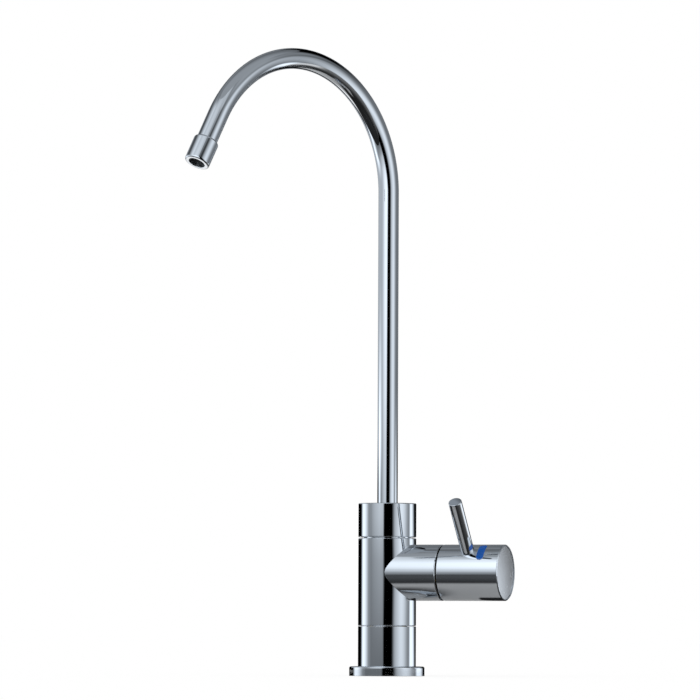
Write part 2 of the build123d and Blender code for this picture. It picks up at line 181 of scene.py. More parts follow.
def finished(material, tree, settings):
    shader = tree.add("ShaderNodeBsdfPrincipled", {}, settings)
    tree.add("ShaderNodeOutputMaterial", {}, {"Surface": shader})
    return material


def grey(level):
    return (level, level, level, 1.0)


def ramp(tree, value, low, high):
    settings = {"interpolation_type": "SMOOTHSTEP"}
    return tree.add("ShaderNodeMapRange", settings, {"Value": value, "From Min": low, "From Max": high})


def objectPlace(tree):
    return tree.add("ShaderNodeTexCoord").out("Object")


def parted(tree, place):
    parts = tree.add("ShaderNodeSeparateXYZ", {}, {"Vector": place})
    return parts.out("X"), parts.out("Y"), parts.out("Z")


def speckle(tree, place, scale, detail=2.0):
    return tree.add("ShaderNodeTexNoise", {}, {"Vector": place, "Scale": scale, "Detail": detail})


def dent(tree, height, strength, depth, over=None):
    inputs = {"Height": height, "Strength": strength, "Distance": depth * mm}
    if over:
        inputs["Normal"] = over
    return tree.add("ShaderNodeBump", {}, inputs)


# Studio: a tent painted by heading, in degrees to the right of the camera, and by height in metres. A pair
# is the span over which a panel fades in or out, and a lean turns that span by so many degrees a metre up.

studio = {
    "cameraSide": 19.8,
    "radius": 0.40,
    "height": 0.85,
    "sides": 180,
    "plainLight": 0.9,
    "lamp": 0.4,
    "lampAngle": 40,
    "lampTurn": (35, -20, 15),
    "ceiling": {"back": 0.14, "front": 0.31, "blend": (-0.27, 0.10)},
    "tint": (0.92, 0.985, 1.055, 1.0),
    "panels": {
        "keyLeft": {"level": 1.15, "from": (-126, -109), "to": (-106, -65), "below": (0.10, 0.24)},
        "keyRight": {"level": 1.15, "from": (94, 107), "to": (119, 148), "toLean": 135,
                     "below": (0.10, 0.17)},
        "lowLeft": {"level": 0.165, "from": (-80, -70), "to": (-17, -12), "below": (0.50, 0.70)},
        "backRight": {"level": 0.18, "from": (96, 112), "above": (0.11, 0.16), "below": (0.40, 0.60)},
        "backLeft": {"level": 0.47, "from": (-172, -150), "to": (-82, -60), "above": (0.10, 0.14),
                     "below": (0.32, 0.52)},
        "backEdge": {"level": 0.18, "to": (-172, -150), "above": (0.11, 0.16), "below": (0.40, 0.60)},
        "highWall": {"level": 0.21, "to": (98, 124), "above": (0.44, 0.62)},
        "highLeft": {"level": 0.28, "from": (-100, -76), "to": (-60, -46), "above": (0.48, 0.60),
                     "below": (0.66, 0.78)},
        "highFront": {"level": 0.30, "from": (-3, 9), "to": (14, 28), "above": (0.50, 0.59)},
        "highRight": {"level": 0.11, "from": (20, 42), "to": (66, 86), "above": (0.50, 0.57)},
    },
    "frontLeft": {
        "byHeading": [(-78, 0.0), (-68, 0.22), (-60, 0.46), (-50, 0.67), (-40, 0.80), (-30, 0.93),
                      (-18, 0.84), (0, 0.64), (16, 0.55)],
        "byHeight": [(0.0, 0.0), (0.015, 0.04), (0.064, 0.24), (0.09, 0.48), (0.13, 0.62), (0.16, 0.83),
                     (0.217, 1.03), (0.28, 1.10), (0.33, 1.13), (0.38, 1.10), (0.43, 1.02), (0.49, 0.90),
                     (0.55, 0.62), (0.62, 0.47), (0.70, 0.46), (0.80, 0.40), (0.84, 0.36)],
        "edge": (-20.5, -14.5),
        "edgeLean": -30,
    },
    "right": {
        "byHeading": [(18.5, 0.0), (23, 0.13), (27, 0.33), (31, 0.47), (36, 0.57), (42, 0.67), (50, 0.80),
                      (56, 0.86), (62, 0.83), (69, 0.73), (76, 0.56), (83, 0.38), (91, 0.26), (99, 0.20),
                      (108, 0.0)],
        "byHeight": [(0.0, 0.93), (0.015, 0.92), (0.09, 1.05), (0.13, 1.02), (0.28, 1.02), (0.33, 0.95),
                     (0.37, 0.92), (0.42, 0.84), (0.46, 0.55), (0.50, 0.28), (0.56, 0.0)],
    },
}


def onlyReflected(thing):
    thing.visible_camera = False
    thing.visible_diffuse = False
    thing.visible_shadow = False
    thing.visible_transmission = False


def curveOver(tree, value, points, low, high):
    stops = [((place - low) / (high - low), grey(level)) for place, level in points]
    place = (value - low) / (high - low)
    colour = tree.add("ShaderNodeValToRGB", {"stops": stops}, {"Fac": place}).out("Color")
    return tree.add("ShaderNodeRGBToBW", {}, {"Color": colour})


def panelLight(tree, heading, height, look):
    level = look["level"]
    if "from" in look:
        level = ramp(tree, heading, *look["from"]) * level
    if "to" in look:
        level = (1 - ramp(tree, heading + height * look.get("toLean", 0), *look["to"])) * level
    if "above" in look:
        level = ramp(tree, height, *look["above"]) * level
    if "below" in look:
        level = (1 - ramp(tree, height, *look["below"])) * level
    return level


def shadedWall(tree, heading, height, look):
    level = curveOver(tree, heading, look["byHeading"], -180, 180)
    if "edge" in look:
        level = (1 - ramp(tree, heading + height * look["edgeLean"], *look["edge"])) * level
    return level * curveOver(tree, height, look["byHeight"], 0.0, studio["height"])


def tentPaint():
    material, tree = newFinish("tentPaint")
    across, depth, height = parted(tree, objectPlace(tree))
    heading = tree.add("ShaderNodeMath", {"operation": "ARCTAN2"}, [across, -1 * depth]) * degrees(1)
    wall = shadedWall(tree, heading, height, studio["frontLeft"])
    wall = wall + shadedWall(tree, heading, height, studio["right"])
    for look in studio["panels"].values():
        wall = wall + panelLight(tree, heading, height, look)
    top = studio["height"] - mm
    isCeiling = tree.add("ShaderNodeMath", {"operation": "GREATER_THAN"}, [height, top])
    back, front = studio["ceiling"]["back"], studio["ceiling"]["front"]
    above = ramp(tree, -1 * depth, *studio["ceiling"]["blend"]) * (front - back) + back
    level = wall * (1 - isCeiling) + isCeiling * above
    colour = tree.mixed(level, grey(0.0), studio["tint"], clamped=False)
    glow = tree.add("ShaderNodeEmission", {}, {"Color": colour, "Strength": 1.0})
    tree.add("ShaderNodeOutputMaterial", {}, {"Surface": glow})
    return material


def makeTent():
    mesh = bpy.data.meshes.new("tent")
    shape = bmesh.new()
    radius = studio["radius"]
    size = {"radius1": radius, "radius2": radius, "depth": 2 * studio["height"]}
    bmesh.ops.create_cone(shape, cap_ends=True, segments=studio["sides"], **size)
    shape.to_mesh(mesh)
    shape.free()
    tent = linkObject("tent", mesh)
    tent.rotation_euler.z = radians(studio["cameraSide"])
    mesh.materials.append(tentPaint())
    onlyReflected(tent)


def makeWorld():
    world = bpy.data.worlds.new("studio")
    world.use_nodes = True
    bpy.context.scene.world = world
    world.node_tree.nodes.clear()
    tree = Tree(world.node_tree)
    lightPath = tree.add("ShaderNodeLightPath")
    seen = lightPath.out("Is Camera Ray") + lightPath.out("Is Glossy Ray")
    seen = seen + lightPath.out("Is Transmission Ray")
    plain = tree.add("ShaderNodeBackground", {}, {"Color": grey(1.0), "Strength": studio["plainLight"]})
    white = tree.add("ShaderNodeBackground", {}, {"Color": grey(1.0), "Strength": 1.0})
    shown = tree.add("ShaderNodeMixShader", {}, [seen, plain, white])
    tree.add("ShaderNodeOutputWorld", {}, {"Surface": shown})


def makeLamp():
    lamp = bpy.data.lights.new("softLamp", "SUN")
    lamp.energy = studio["lamp"]
    lamp.angle = radians(studio["lampAngle"])
    softLamp = linkObject("softLamp", lamp)
    softLamp.rotation_euler = [radians(turn) for turn in studio["lampTurn"]]
    softLamp.visible_glossy = False


makeTent()
makeWorld()
makeLamp()
print("studio lit")


# Floor: the deck that the faucet stands on. Polished metal sees a grey board on a dark glossy table, placed
# in metres across and to the back, where a pair is the span of a fade.

floorLook = {
    "reach": 6.0,
    "hole": 19.2,
    "holeSides": 96,
    "glow": 0.8,
    "boardLevels": (0.33, 0.45),
    "boardRise": (0.05, 0.25),
    "boardFront": (-0.072, -0.050),
    "boardRight": (0.050, 0.062),
    "boardLeft": (-0.038, -0.024),
    "boardBehind": (0.03, 0.06),
    "notchBack": (0.014, 0.026),
    "notchSide": (0.0400, 0.0418),
    "notchLean": 0.23,
    "tableLevel": 0.012,
    "tableFar": 0.14,
    "tableRise": (0.03, 0.33),
    "tableIndex": 1.20,
    "tableRoughness": 0.05,
    # painted light in the floor's reflection: a pale pool on the table at the right back
    "rightLightSide": (0.15, 0.25),
    "rightLightBack": (0.04, 0.12),
    "rightLightLevel": 0.65,
    # painted light in the floor's reflection: a bright pool at the left back, for highlights on the
    # nozzle's rim
    "leftLightPool": (-0.258, 0.141, 0.0),
    "leftLightPoolReach": (0.05, 0.10),
    "leftLightPoolLevel": 0.95,
    "shadePlace": (-0.008, -0.008, 0.0),
    "shadeReach": (0.017, 0.038),
    "shadeLevel": 0.06,
}


def boardMask(tree, across, depth):
    look = floorLook
    left = ramp(tree, across, *look["boardLeft"]).larger(ramp(tree, depth, *look["boardBehind"]))
    onBoard = ramp(tree, depth, *look["boardFront"]) * (1 - ramp(tree, across, *look["boardRight"])) * left
    notch = ramp(tree, across + depth * look["notchLean"], *look["notchSide"])
    return onBoard * (1 - notch * ramp(tree, depth, *look["notchBack"]))


def floorPaint():
    look = floorLook
    material, tree = newFinish("floorPaint")
    glossy = tree.add("ShaderNodeLightPath").out("Is Glossy Ray")
    lit = tree.add("ShaderNodeBsdfDiffuse", {}, {"Color": grey(1.0)})
    white = tree.add("ShaderNodeEmission", {}, {"Color": grey(1.0), "Strength": 1.0})
    pale = tree.add("ShaderNodeMixShader", {}, [look["glow"], lit, white])
    place = objectPlace(tree)
    across, depth = parted(tree, place)[:2]
    toFoot = tree.add("ShaderNodeVectorMath", {"operation": "DISTANCE"}, [place, look["shadePlace"]])
    clear = ramp(tree, toFoot.out("Value"), *look["shadeReach"])
    front, back = look["boardLevels"]
    board = tree.mixed(ramp(tree, depth, *look["boardRise"]), grey(front), grey(back))
    board = tree.mixed(clear, grey(look["shadeLevel"]), board)
    # painted light: a bright pool mixed into the board, seen only in reflections
    toLeftLightPool = tree.add("ShaderNodeVectorMath", {"operation": "DISTANCE"}, [place, look["leftLightPool"]])
    leftLightPool = ramp(tree, toLeftLightPool.out("Value"), *look["leftLightPoolReach"])
    board = tree.mixed(leftLightPool, grey(look["leftLightPoolLevel"]), board)
    # painted light: a pale pool on the dark table at the right back, seen only in reflections
    rightLightPool = ramp(tree, across, *look["rightLightSide"]) * ramp(tree, depth, *look["rightLightBack"])
    far = ramp(tree, across, *look["tableRise"])
    table = tree.mixed(far, grey(look["tableLevel"]), grey(look["tableFar"]))
    table = tree.mixed(rightLightPool, table, grey(look["rightLightLevel"]))
    colour = tree.mixed(boardMask(tree, across, depth), table, board)
    settings = {"Base Color": colour, "Roughness": look["tableRoughness"], "IOR": look["tableIndex"]}
    reflected = tree.add("ShaderNodeBsdfPrincipled", {}, settings)
    shown = tree.add("ShaderNodeMixShader", {}, [glossy, pale, reflected])
    tree.add("ShaderNodeOutputMaterial", {}, {"Surface": shown})
    return material


def makeFloor():
    sides = floorLook["holeSides"]
    places, faces = [], []
    for radius in (floorLook["hole"] * mm, floorLook["reach"]):
        for step in range(sides):
            angle = 2 * pi * step / sides
            places.append((radius * cos(angle), radius * sin(angle), 0))
    for step in range(sides):
        after = (step + 1) % sides
        faces.append((step, sides + step, sides + after, after))
    mesh = bpy.data.meshes.new("floor")
    mesh.from_pydata(places, [], faces)
    mesh.materials.append(floorPaint())
    linkObject("floor", mesh)


makeFloor()
print("floor laid")


# Finishes, one for each slot of the record. A grain is a noise's scale and detail, a band is what a ramp
# spans, and a dent is a bump's strength and its depth in millimetres.

chromeLook = {
    "bright": (0.86, 0.895, 0.935, 1.0),
    "hazed": (0.80, 0.845, 0.895, 1.0),
    "hazeGrain": (38.0, 4.0),
    "hazeBand": (0.50, 0.78),
    "hazeTint": 0.5,
    "fineGrain": (1500.0, 2.0),
    "roughness": 0.018,
    "hazeRoughness": 0.035,
    "fineRoughness": 0.012,
    "edge": 0.28,
    "edgeSamples": 6,
    "rippleGrain": (90.0, 1.0),
    "dent": (0.05, 0.02),
}


def chromePlate():
    look = chromeLook
    material, tree = newFinish("chromePlate")
    place = objectPlace(tree)
    haze = ramp(tree, speckle(tree, place, *look["hazeGrain"]), *look["hazeBand"])
    fine = speckle(tree, place, *look["fineGrain"])
    colour = tree.mixed(haze * look["hazeTint"], look["bright"], look["hazed"])
    roughness = haze * look["hazeRoughness"] + fine * look["fineRoughness"] + look["roughness"]
    edge = tree.add("ShaderNodeBevel", {"samples": look["edgeSamples"]}, {"Radius": look["edge"] * mm})
    ripple = dent(tree, speckle(tree, place, *look["rippleGrain"]), *look["dent"], edge)
    settings = {"Base Color": colour, "Metallic": 1.0, "Roughness": roughness, "Normal": ripple}
    return finished(material, tree, settings)


satinLook = {
    "bright": (0.73, 0.76, 0.80, 1.0),
    "dull": (0.66, 0.69, 0.73, 1.0),
    "metal": 0.72,
    "rings": {"Scale": 227.0, "Distortion": 1.5, "Detail": 2.0},
    "cloudGrain": (260.0, 3.0),
    "tint": 0.4,
    "roughness": 0.17,
    "ringRoughness": 0.04,
    "cloudRoughness": 0.10,
    "cloudDent": 0.3,
    "dent": (0.25, 0.01),
}


def satinFace():
    look = satinLook
    material, tree = newFinish("satinFace")
    place = objectPlace(tree)
    centred = tree.add("ShaderNodeMapping", {}, {"Vector": place, "Location": (0, 0, -branchHeight * mm)})
    kind = {"wave_type": "RINGS", "rings_direction": "X"}
    rings = tree.add("ShaderNodeTexWave", kind, {"Vector": centred, **look["rings"]}).out("Fac")
    cloud = speckle(tree, place, *look["cloudGrain"])
    colour = tree.mixed((rings + cloud) * look["tint"], look["bright"], look["dull"])
    roughness = cloud * look["cloudRoughness"] + rings * look["ringRoughness"] + look["roughness"]
    spin = dent(tree, rings + cloud * look["cloudDent"], *look["dent"])
    settings = {"Base Color": colour, "Metallic": look["metal"], "Roughness": roughness, "Normal": spin}
    return finished(material, tree, settings)


brassLook = {
    "bright": (0.76, 0.58, 0.28, 1.0),
    "aged": (0.55, 0.38, 0.17, 1.0),
    "drawn": (0.25, 0.25, 2.4),
    "markGrain": (2400.0, 3.0),
    "ageGrain": (130.0, 5.0),
    "ageBand": (0.40, 0.72),
    "ageTint": 0.8,
    "roughness": 0.24,
    "ageRoughness": 0.16,
    "markRoughness": 0.12,
    "dent": (0.35, 0.02),
}


def rawBrass():
    look = brassLook
    material, tree = newFinish("rawBrass")
    place = objectPlace(tree)
    drawn = tree.add("ShaderNodeMapping", {}, {"Vector": place, "Scale": look["drawn"]})
    marks = speckle(tree, drawn, *look["markGrain"])
    age = ramp(tree, speckle(tree, place, *look["ageGrain"]), *look["ageBand"])
    colour = tree.mixed(age * look["ageTint"], look["bright"], look["aged"])
    roughness = age * look["ageRoughness"] + marks * look["markRoughness"] + look["roughness"]
    cut = dent(tree, marks, *look["dent"])
    settings = {"Base Color": colour, "Metallic": 1.0, "Roughness": roughness, "Normal": cut}
    return finished(material, tree, settings)


steelLook = {
    "bright": (0.62, 0.62, 0.61, 1.0),
    "dull": (0.46, 0.46, 0.47, 1.0),
    "brushed": (0.12, 2.2, 1.0),
    "strokeGrain": (1800.0, 3.0),
    "strokeTint": 0.6,
    "cloudGrain": (160.0, 3.0),
    "cloudTint": 0.3,
    "roughness": 0.30,
    "strokeRoughness": 0.16,
    "cloudRoughness": 0.08,
    "dent": (0.25, 0.01),
}


def stainlessSteel():
    look = steelLook
    material, tree = newFinish("stainlessSteel")
    place = objectPlace(tree)
    brushed = tree.add("ShaderNodeMapping", {}, {"Vector": place, "Scale": look["brushed"]})
    strokes = speckle(tree, brushed, *look["strokeGrain"])
    cloud = speckle(tree, place, *look["cloudGrain"])
    tint = strokes * look["strokeTint"] + cloud * look["cloudTint"]
    colour = tree.mixed(tint, look["bright"], look["dull"])
    roughness = strokes * look["strokeRoughness"] + cloud * look["cloudRoughness"] + look["roughness"]
    scratched = dent(tree, strokes, *look["dent"])
    settings = {"Base Color": colour, "Metallic": 1.0, "Roughness": roughness, "Normal": scratched}
    return finished(material, tree, settings)


rubberLook = {
    "deep": (0.018, 0.018, 0.019, 1.0),
    "bloom": (0.055, 0.055, 0.056, 1.0),
    "bloomGrain": (220.0, 4.0),
    "bloomBand": (0.45, 0.80),
    "poreGrain": (3200.0, 2.0),
    "roughness": 0.66,
    "bloomRoughness": 0.10,
    "poreRoughness": 0.14,
    "dent": (0.30, 0.03),
}


def blackRubber():
    look = rubberLook
    material, tree = newFinish("blackRubber")
    place = objectPlace(tree)
    bloom = ramp(tree, speckle(tree, place, *look["bloomGrain"]), *look["bloomBand"])
    pores = speckle(tree, place, *look["poreGrain"])
    colour = tree.mixed(bloom, look["deep"], look["bloom"])
    roughness = pores * look["poreRoughness"] + bloom * look["bloomRoughness"] + look["roughness"]
    moulded = dent(tree, pores, *look["dent"])
    return finished(material, tree, {"Base Color": colour, "Roughness": roughness, "Normal": moulded})


ceramicLook = {
    "light": (0.90, 0.885, 0.83, 1.0),
    "warm": (0.82, 0.79, 0.71, 1.0),
    "stainGrain": (180.0, 3.0),
    "stainBand": (0.45, 0.8),
    "stainTint": 0.5,
    "fineGrain": (2600.0, 3.0),
    "fineTint": 0.2,
    "roughness": 0.16,
    "fineRoughness": 0.12,
    "index": 1.76,
}


def lappedCeramic():
    look = ceramicLook
    material, tree = newFinish("lappedCeramic")
    place = objectPlace(tree)
    fine = speckle(tree, place, *look["fineGrain"])
    stain = ramp(tree, speckle(tree, place, *look["stainGrain"]), *look["stainBand"])
    colour = tree.mixed(stain * look["stainTint"] + fine * look["fineTint"], look["light"], look["warm"])
    roughness = fine * look["fineRoughness"] + look["roughness"]
    return finished(material, tree, {"Base Color": colour, "Roughness": roughness, "IOR": look["index"]})


acetalLook = {
    "light": (0.86, 0.86, 0.83, 1.0),
    "shade": (0.77, 0.77, 0.75, 1.0),
    "flowGrain": (140.0, 3.0),
    "flowTint": 0.6,
    "fineGrain": (2200.0, 2.0),
    "roughness": 0.36,
    "fineRoughness": 0.16,
    "dent": (0.15, 0.02),
    "softness": 0.05,
}


def whiteAcetal():
    look = acetalLook
    material, tree = newFinish("whiteAcetal")
    place = objectPlace(tree)
    flow = speckle(tree, place, *look["flowGrain"])
    fine = speckle(tree, place, *look["fineGrain"])
    settings = {
        "Base Color": tree.mixed(flow * look["flowTint"], look["light"], look["shade"]),
        "Roughness": fine * look["fineRoughness"] + look["roughness"],
        "Normal": dent(tree, fine, *look["dent"]),
        "Subsurface Weight": look["softness"],
    }
    return finished(material, tree, settings)


insertLook = {
    "deep": (0.004, 0.004, 0.005, 1.0),
    "worn": (0.012, 0.012, 0.013, 1.0),
    "wearGrain": (900.0, 4.0),
    "wearBand": (0.5, 0.8),
    "fineGrain": (2600.0, 2.0),
    "roughness": 0.55,
    "wearRoughness": 0.25,
    "dent": (0.2, 0.02),
}


def greyInsert():
    look = insertLook
    material, tree = newFinish("greyInsert")
    place = objectPlace(tree)
    wear = ramp(tree, speckle(tree, place, *look["wearGrain"]), *look["wearBand"])
    colour = tree.mixed(wear, look["deep"], look["worn"])
    roughness = wear * look["wearRoughness"] + look["roughness"]
    moulded = dent(tree, speckle(tree, place, *look["fineGrain"]), *look["dent"])
    return finished(material, tree, {"Base Color": colour, "Roughness": roughness, "Normal": moulded})


enamelLook = {
    "deep": (0.003, 0.05, 0.27, 1.0),
    "light": (0.008, 0.11, 0.44, 1.0),
    "poolGrain": (420.0, 3.0),
    "fineGrain": (1600.0, 2.0),
    "roughness": 0.03,
    "fineRoughness": 0.10,
    "dent": (0.10, 0.02),
}


def blueEnamel():
    look = enamelLook
    material, tree = newFinish("blueEnamel")
    place = objectPlace(tree)
    pool = speckle(tree, place, *look["poolGrain"])
    colour = tree.mixed(pool, look["deep"], look["light"])
    roughness = speckle(tree, place, *look["fineGrain"]) * look["fineRoughness"] + look["roughness"]
    level = dent(tree, pool, *look["dent"])
    return finished(material, tree, {"Base Color": colour, "Roughness": roughness, "Normal": level})


finishes = {
    "chrome_plate": chromePlate(),
    "satin_face": satinFace(),
    "raw_brass": rawBrass(),
    "stainless": stainlessSteel(),
    "black_rubber": blackRubber(),
    "alumina": lappedCeramic(),
    "white_acetal": whiteAcetal(),
    "grey_insert": greyInsert(),
    "blue_mark": blueEnamel(),
}


def dressFrame():
    slots = {row["node"]: row["material_slot"] for row in frame["record"]["subparts"]}
    for name, node in frame["nodes"].items():
        node.data.materials.clear()
        node.data.materials.append(finishes[slots[name]])


dressFrame()
print("finishes on", len(frame["nodes"]), "nodes")


# Turned pieces: an outline of corners (radius, height, rounding) in millimetres, spun round an axis, with
# the metal to the left of its direction. Each face keeps the true normals of the turned surface.

meshLook = {
    "turns": 144,
    "roundSteps": 8,
    "leastRow": 1e-5,
    "weldReach": 1e-6,
    "weldShift": 0.37,  # keeps the weld's steps off round sizes
}


class Shell:
    def __init__(self):
        self.places = []
        self.known = {}
        self.faces = []
        self.normals = []

    def corner(self, place):
        key = tuple(round(part / meshLook["weldReach"] + meshLook["weldShift"]) for part in place)
        if key not in self.known:
            self.known[key] = len(self.places)
            self.places.append(place)
        return self.known[key]

    def addFace(self, corners):
        face, normals = [], []
        for place, normal in corners:
            index = self.corner(place)
            if index not in face:
                face.append(index)
                normals.append(normal)
        if len(face) > 2:
            self.faces.append(face)
            self.normals += normals


def sideways(step):
    return Vector((step.y, -step.x))


def roundedCorner(before, here, after, rounding):
    inward = (here - before).normalized()
    outward = (after - here).normalized()
    first, last = sideways(inward), sideways(outward)
    if rounding == 0.0:
        return [(here, first), (here, last)]
    turn = atan2(inward.cross(outward), inward.dot(outward))
    side = 1 if turn > 0 else -1
    start = here - inward * rounding * tan(abs(turn) / 2)
    centre = start - first * rounding * side
    rows = []
    for step in range(meshLook["roundSteps"] + 1):
        normal = first.copy()
        normal.rotate(Matrix.Rotation(turn * step / meshLook["roundSteps"], 2))
        rows.append((centre + normal * rounding * side, normal))
    return rows


def outlineRows(corners, closed):
    points = [Vector(corner[:2]) for corner in corners]
    roundings = [corner[2] if len(corner) > 2 else 0.0 for corner in corners]
    rows = []
    for index, here in enumerate(points):
        if not closed and index == 0:
            rows.append((here, sideways((points[1] - here).normalized())))
        elif not closed and index == len(points) - 1:
            rows.append((here, sideways((here - points[-2]).normalized())))
        else:
            after = points[(index + 1) % len(points)]
            rows += roundedCorner(points[index - 1], here, after, roundings[index])
    return rows


def onCylinder(radius, angle, height):
    return Vector((radius * cos(angle), radius * sin(angle), height))


def spun(row, angle, place):
    point, normal = row
    at = place @ onCylinder(point.x, angle, point.y)
    facing = place.to_3x3() @ Vector((normal.x * cos(angle), normal.x * sin(angle), normal.y))
    return at * mm, facing.normalized()


def turned(corners, place, closed=False):
    shell = Shell()
    rows = outlineRows(corners, closed)
    following = rows[1:] + rows[:1] if closed else rows[1:]
    for low, high in zip(rows, following):
        if (high[0] - low[0]).length < meshLook["leastRow"]:
            continue
        for step in range(meshLook["turns"]):
            here = 2 * pi * step / meshLook["turns"]
            there = 2 * pi * ((step + 1) % meshLook["turns"]) / meshLook["turns"]
            lowSide = [spun(low, here, place), spun(low, there, place)]
            highSide = [spun(high, there, place), spun(high, here, place)]
            shell.addFace(lowSide + highSide)
    return shell


def shellMesh(name, shell, finish, keepNormals=True):
    mesh = bpy.data.meshes.new(name)
    mesh.from_pydata(shell.places, [], shell.faces)
    mesh.polygons.foreach_set("use_smooth", [True] * len(shell.faces))
    if keepNormals:
        mesh.normals_split_custom_set(shell.normals)
    mesh.materials.append(finish)
    return mesh


def fitPiece(piece, body, node):
    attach(piece, body)
    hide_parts(node)


def placeShell(name, shell, body, slot, node):
    fitPiece(linkObject(name, shellMesh(name, shell, finishes[slot])), body, node)


def heightSpan(node):
    low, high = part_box(node)
    return low[2] / mm, high[2] / mm


def axesPlace(origin, across, along):
    down = along.cross(across)
    turn = Matrix((across, down, along)).transposed().to_4x4()
    return Matrix.Translation(origin) @ turn


# Handle: the slightly crowned end face, the lever pin, upright at the joint's low limit, and the blue mark

handleSizes = {
    "angle": -joints["handle_turn"]["range_deg"][0],
    "faceRadius": 13.9,
    "faceRim": 0.175,
    "faceSag": 0.60,
    "faceSteps": 12,
    "faceThickness": 1.6,
    "crownEdge": 0.25,
    "spigotRadius": 4.0,
    "spigotLength": 3.6,
    "spigotEdge": 0.3,
    "leverPlace": 47.1,
    "leverRadius": 3.45,
    "leverSeat": 13.3,
    "leverReach": 46.2,
    "leverEdge": 0.45,
    "seatEdge": 0.2,
    "studRadius": 2.0,
    "studStart": 5.0,
    "studEdge": 0.3,
}

upright = Vector((0, -sin(radians(handleSizes["angle"])), cos(radians(handleSizes["angle"]))))
handlePlace = axesPlace(Vector((0, 0, branchHeight)), upright, Vector((1, 0, 0)))
leverPlace = axesPlace(Vector((handleSizes["leverPlace"], 0, branchHeight)), Vector((1, 0, 0)), upright)


def makeEndDisc():
    sizes = handleSizes
    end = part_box("handle_end_disc")[1][0] / mm
    back = end - sizes["faceThickness"]
    radius = sizes["faceRadius"]
    bend = (radius * radius + sizes["faceSag"] ** 2) / (2 * sizes["faceSag"])
    corners = [
        (0.0, back - sizes["spigotLength"]),
        (sizes["spigotRadius"], back - sizes["spigotLength"], sizes["spigotEdge"]),
        (sizes["spigotRadius"], back),
        (radius, back),
        (radius, end - sizes["faceSag"], sizes["faceRim"]),
    ]
    for step in range(sizes["faceSteps"] - 1, 0, -1):
        reach = radius * step / sizes["faceSteps"]
        corners.append((reach, end - (bend - sqrt(bend * bend - reach * reach)), sizes["crownEdge"]))
    corners.append((0.0, end))
    placeShell("endDisc", turned(corners, handlePlace), "handle", "satin_face", "handle_end_disc")


def makeLever():
    sizes = handleSizes
    corners = [
        (0.0, sizes["studStart"]),
        (sizes["studRadius"], sizes["studStart"], sizes["studEdge"]),
        (sizes["studRadius"], sizes["leverSeat"]),
        (sizes["leverRadius"], sizes["leverSeat"], sizes["seatEdge"]),
        (sizes["leverRadius"], sizes["leverReach"], sizes["leverEdge"]),
        (0.0, sizes["leverReach"]),
    ]
    placeShell("leverPin", turned(corners, leverPlace), "handle", "chrome_plate", "lever_pin")


markSizes = {
    "place": 54.6,
    "width": 3.8,
    "halfAngle": 24.0,
    "handleRadius": 14.5,
    "proud": 0.14,
    "roundEdge": 1.2,
    "depth": 0.7,
    "straightSteps": 24,
    "endSteps": 10,
    "acrossSteps": 9,
    "sharpAngle": 60.0,
}


def markColumns():
    sizes = markSizes
    halfWidth = sizes["width"] / 2
    straight = sizes["handleRadius"] * radians(sizes["halfAngle"]) - halfWidth
    columns = []
    for step in range(sizes["endSteps"], 0, -1):
        bow = pi / 2 * step / sizes["endSteps"]
        columns.append((-straight - halfWidth * sin(bow), halfWidth * cos(bow)))
    for step in range(sizes["straightSteps"] + 1):
        columns.append((straight * (2 * step / sizes["straightSteps"] - 1), halfWidth))
    columns += [(-along, reach) for along, reach in reversed(columns[:sizes["endSteps"]])]
    return columns, straight, halfWidth


def markCrown(along, across, straight, halfWidth):
    past = max(abs(along) - straight, 0.0)
    inward = max(halfWidth - sqrt(past * past + across * across), 0.0)
    rise = 1 - min(inward / markSizes["roundEdge"], 1.0)
    return markSizes["proud"] * sqrt(1 - rise * rise)


def markSheets(columns, straight, halfWidth):
    sizes = markSizes
    top, foot = [], []
    for along, reach in columns:
        angle = along / sizes["handleRadius"]
        topLine, footLine = [], []
        for step in range(-sizes["acrossSteps"], sizes["acrossSteps"] + 1):
            across = reach * sin(pi / 2 * step / sizes["acrossSteps"])
            crown = markCrown(along, across, straight, halfWidth)
            for line, height in ((topLine, crown), (footLine, -sizes["depth"])):
                at = onCylinder(sizes["handleRadius"] + height, angle, sizes["place"] + across)
                line.append((handlePlace @ at * mm, Vector()))
        top.append(topLine)
        foot.append(footLine)
    return top, foot


def makeColdMark():
    top, foot = markSheets(*markColumns())
    shell = Shell()
    for here, there, hereFoot, thereFoot in zip(top, top[1:], foot, foot[1:]):
        for step in range(len(here) - 1):
            shell.addFace([here[step], there[step], there[step + 1], here[step + 1]])
            shell.addFace([hereFoot[step + 1], thereFoot[step + 1], thereFoot[step], hereFoot[step]])
        shell.addFace([hereFoot[0], thereFoot[0], there[0], here[0]])
        shell.addFace([here[-1], there[-1], thereFoot[-1], hereFoot[-1]])
    mesh = shellMesh("coldMark", shell, finishes["blue_mark"], keepNormals=False)
    mesh.set_sharp_from_angle(angle=radians(markSizes["sharpAngle"]))
    fitPiece(linkObject("coldMark", mesh), "handle", "cold_mark")


makeEndDisc()
makeLever()
makeColdMark()
print("handle turned")


# Spout: a tube along a rise, one bend and a straight tail, and the nozzle over its end

spoutSizes = {
    "heading": 244.8,
    "start": 69.1,
    "straightTop": 250.4,
    "tubeRadius": 5.294,  # a hair under the solid's 5.3, which keeps the bend inside its box
    "tubeWall": 0.9,
    "bendRadius": 65.4,
    "bendAngle": 150.0,
    "tail": 29.0,
    "insertDepth": 7.0,
    "rows": 300,
    "sides": 72,
    "sharpAngle": 40.0,
    "nozzleRadius": 6.5,
    "nozzleLength": 13.6,
    "nozzleBore": 5.35,
    "nozzleShoulder": 1.1,
    "nozzleRim": 0.85,
    "lip": 1.6,
    "lipRadius": 4.2,
    "lipEdge": 0.20,
}


def newNodeTree(name, inputs):
    nodeTree = bpy.data.node_groups.new(name, "GeometryNodeTree")
    face = nodeTree.interface
    face.new_socket("Geometry", in_out="OUTPUT", socket_type="NodeSocketGeometry")
    for kind, names in inputs.items():
        for socketName in names:
            face.new_socket(socketName, in_out="INPUT", socket_type="NodeSocket" + kind)
    return Tree(nodeTree)


